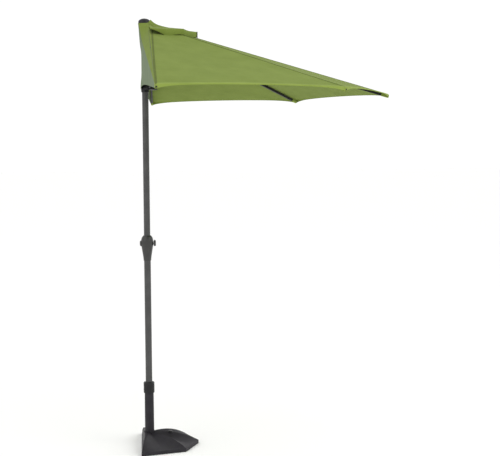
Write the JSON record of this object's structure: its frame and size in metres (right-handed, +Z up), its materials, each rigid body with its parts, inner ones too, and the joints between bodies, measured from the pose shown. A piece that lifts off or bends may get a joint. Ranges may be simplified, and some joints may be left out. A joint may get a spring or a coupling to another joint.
{
  "type": "half parasol with base",
  "caption": "Half-round wall parasol: crank-opened half-octagon canopy on a pole that clamps into a flat-backed weighted base.",
  "frame": {"origin": "on the floor, at the pole's axis", "axes": "+X away from the wall, Y along the wall, +Z up"},
  "size_m": [1.4414, 2.7406, 2.432],
  "materials": {
    "base_plastic": "fine-grained moulded, dark grey",
    "ballast": "cast concrete",
    "rubber": "matt",
    "steel_fastener": "zinc plated",
    "collar_plastic": "moulded black",
    "pole_paint": "satin anthracite powder coat",
    "steel_tube": "plain",
    "housing_plastic": "semi-gloss moulded",
    "black_plastic": "moulded black",
    "bush": "sintered",
    "cord": "braided",
    "rib_paint": "satin dark grey powder coat",
    "canopy_cloth": "olive green woven polyester"
  },
  "bodies": {
    "base": {"base_cover": "base_plastic", "base_ballast": "ballast", "base_plate": "black_plastic", "base_feet": "rubber", "base_sleeve": "base_plastic", "base_screws": "steel_fastener", "clamp_collet": "black_plastic"},
    "collar": {"clamp_collar": "collar_plastic"},
    "mast": {"lower_pole": "pole_paint", "pole_foot": "black_plastic", "upper_pole": "pole_paint", "joint_insert": "steel_tube", "housing_wall_half": "housing_plastic", "housing_room_half": "housing_plastic", "housing_screws": "steel_fastener", "axle_bushes": "bush", "top_hub": "black_plastic", "hub_pins": "steel_fastener", "finial_cap": "black_plastic", "lift_cord_inside": "cord"},
    "crank": {"crank_axle": "steel_fastener", "winding_spool": "black_plastic", "crank_arm": "housing_plastic", "grip_pin": "steel_fastener"},
    "grip": {"crank_grip": "housing_plastic"},
    "pulley": {"cord_pulley": "black_plastic"},
    "runner": {"runner": "black_plastic", "runner_liner": "black_plastic", "lift_cord_outside": "cord"},
    "rib_1": {"rib_1": "rib_paint", "rib_tip_1": "black_plastic", "rib_bracket_1": "rib_paint", "back_panel_near": "canopy_cloth"},
    "strut_1": {"strut_1": "rib_paint"},
    "rib_2": {"rib_2": "rib_paint", "rib_tip_2": "black_plastic", "rib_bracket_2": "rib_paint"},
    "strut_2": {"strut_2": "rib_paint"},
    "rib_3": {"rib_3": "rib_paint", "rib_tip_3": "black_plastic", "rib_bracket_3": "rib_paint"},
    "strut_3": {"strut_3": "rib_paint"},
    "rib_4": {"rib_4": "rib_paint", "rib_tip_4": "black_plastic", "rib_bracket_4": "rib_paint"},
    "strut_4": {"strut_4": "rib_paint"},
    "rib_5": {"rib_5": "rib_paint", "rib_tip_5": "black_plastic", "rib_bracket_5": "rib_paint", "back_panel_far": "canopy_cloth"},
    "strut_5": {"strut_5": "rib_paint"},
    "panel_1": {"canopy_panel_1": "canopy_cloth", "vent_panel_1": "canopy_cloth"},
    "panel_2": {"canopy_panel_2": "canopy_cloth", "vent_panel_2": "canopy_cloth"},
    "panel_3": {"canopy_panel_3": "canopy_cloth", "vent_panel_3": "canopy_cloth"},
    "panel_4": {"canopy_panel_4": "canopy_cloth", "vent_panel_4": "canopy_cloth"}
  },
  "joints": [
    {"name": "mast_lift", "type": "slide", "parent": "base", "child": "mast", "axis": [0, 0, 1], "range_m": [0, 0.32]},
    {"name": "collar_turn", "type": "hinge", "parent": "base", "child": "collar", "pos_m": [0, 0, 0.33], "axis": [0, 0, 1], "range_deg": [0, 150]},
    {"name": "runner_slide", "type": "slide", "parent": "mast", "child": "runner", "axis": [0, 0, 1], "range_m": [-0.7655, 0], "deforming": ["lift_cord_outside"]},
    {"name": "rib_1_fold", "type": "hinge", "parent": "mast", "child": "rib_1", "pos_m": [0.02459, -0.03399, 2.378], "axis": [0.9998, 0.0175, 0], "range_deg": [0, 70.3], "deforming": ["back_panel_near"]},
    {"name": "rib_2_fold", "type": "hinge", "parent": "mast", "child": "rib_2", "pos_m": [0.04779, -0.02429, 2.378], "axis": [0.7145, 0.6997, 0], "range_deg": [0, 70.3]},
    {"name": "rib_3_fold", "type": "hinge", "parent": "mast", "child": "rib_3", "pos_m": [0.058, 0, 2.378], "axis": [0, 1, 0], "range_deg": [0, 70.3]},
    {"name": "rib_4_fold", "type": "hinge", "parent": "mast", "child": "rib_4", "pos_m": [0.04779, 0.02429, 2.378], "axis": [-0.7145, 0.6997, 0], "range_deg": [0, 70.3]},
    {"name": "rib_5_fold", "type": "hinge", "parent": "mast", "child": "rib_5", "pos_m": [0.02459, 0.03399, 2.378], "axis": [-0.9998, 0.0175, 0], "range_deg": [0, 70.3], "deforming": ["back_panel_far"]},
    {"name": "strut_1_pivot", "type": "hinge", "parent": "rib_1", "child": "strut_1", "pos_m": [0.03374, -0.55817, 2.21111], "axis": [0.9998, 0.0175, 0], "range_deg": [-140.6, 0]},
    {"name": "strut_2_pivot", "type": "hinge", "parent": "rib_2", "child": "strut_2", "pos_m": [0.41459, -0.39886, 2.21111], "axis": [0.7145, 0.6997, 0], "range_deg": [-140.6, 0]},
    {"name": "strut_3_pivot", "type": "hinge", "parent": "rib_3", "child": "strut_3", "pos_m": [0.58226, 0, 2.21111], "axis": [0, 1, 0], "range_deg": [-140.6, 0]},
    {"name": "strut_4_pivot", "type": "hinge", "parent": "rib_4", "child": "strut_4", "pos_m": [0.41459, 0.39886, 2.21111], "axis": [-0.7145, 0.6997, 0], "range_deg": [-140.6, 0]},
    {"name": "strut_5_pivot", "type": "hinge", "parent": "rib_5", "child": "strut_5", "pos_m": [0.03374, 0.55817, 2.21111], "axis": [-0.9998, 0.0175, 0], "range_deg": [-140.6, 0]},
    {"name": "panel_1_fold", "type": "hinge", "parent": "mast", "child": "panel_1", "pos_m": [0.03712, -0.03137, 2.378], "axis": [0.9225, 0.3859, 0], "range_deg": [0, 70.3], "deforming": ["canopy_panel_1", "vent_panel_1"]},
    {"name": "panel_2_fold", "type": "hinge", "parent": "mast", "child": "panel_2", "pos_m": [0.05534, -0.01318, 2.378], "axis": [0.3875, 0.9219, 0], "range_deg": [0, 70.3], "deforming": ["canopy_panel_2", "vent_panel_2"]},
    {"name": "panel_3_fold", "type": "hinge", "parent": "mast", "child": "panel_3", "pos_m": [0.05534, 0.01318, 2.378], "axis": [-0.3875, 0.9219, 0], "range_deg": [0, 70.3], "deforming": ["canopy_panel_3", "vent_panel_3"]},
    {"name": "panel_4_fold", "type": "hinge", "parent": "mast", "child": "panel_4", "pos_m": [0.03712, 0.03137, 2.378], "axis": [-0.9225, 0.3859, 0], "range_deg": [0, 70.3], "deforming": ["canopy_panel_4", "vent_panel_4"]},
    {"name": "crank_turn", "type": "hinge", "parent": "mast", "child": "crank", "pos_m": [0, 0, 1.165], "axis": [1, 0, 0], "continuous": true},
    {"name": "pulley_turn", "type": "hinge", "parent": "mast", "child": "pulley", "pos_m": [0.0203, 0, 2.348], "axis": [0, 1, 0], "continuous": true},
    {"name": "grip_fold", "type": "hinge", "parent": "crank", "child": "grip", "pos_m": [0.0435, 0.111, 1.165], "axis": [0, 0, 1], "range_deg": [0, 90]}
  ],
  "couplings": [
    {"joint": "rib_1_fold", "follows": "runner_slide", "rad_per_m": -1.5914},
    {"joint": "rib_2_fold", "follows": "runner_slide", "rad_per_m": -1.5914},
    {"joint": "rib_3_fold", "follows": "runner_slide", "rad_per_m": -1.5914},
    {"joint": "rib_4_fold", "follows": "runner_slide", "rad_per_m": -1.5914},
    {"joint": "rib_5_fold", "follows": "runner_slide", "rad_per_m": -1.5914},
    {"joint": "strut_1_pivot", "follows": "runner_slide", "rad_per_m": 3.1829},
    {"joint": "strut_2_pivot", "follows": "runner_slide", "rad_per_m": 3.1829},
    {"joint": "strut_3_pivot", "follows": "runner_slide", "rad_per_m": 3.1829},
    {"joint": "strut_4_pivot", "follows": "runner_slide", "rad_per_m": 3.1829},
    {"joint": "strut_5_pivot", "follows": "runner_slide", "rad_per_m": 3.1829},
    {"joint": "panel_1_fold", "follows": "runner_slide", "rad_per_m": -1.5914},
    {"joint": "panel_2_fold", "follows": "runner_slide", "rad_per_m": -1.5914},
    {"joint": "panel_3_fold", "follows": "runner_slide", "rad_per_m": -1.5914},
    {"joint": "panel_4_fold", "follows": "runner_slide", "rad_per_m": -1.5914},
    {"joint": "crank_turn", "follows": "runner_slide", "rad_per_m": -73.872},
    {"joint": "pulley_turn", "follows": "runner_slide", "rad_per_m": 119.05}
  ]
}
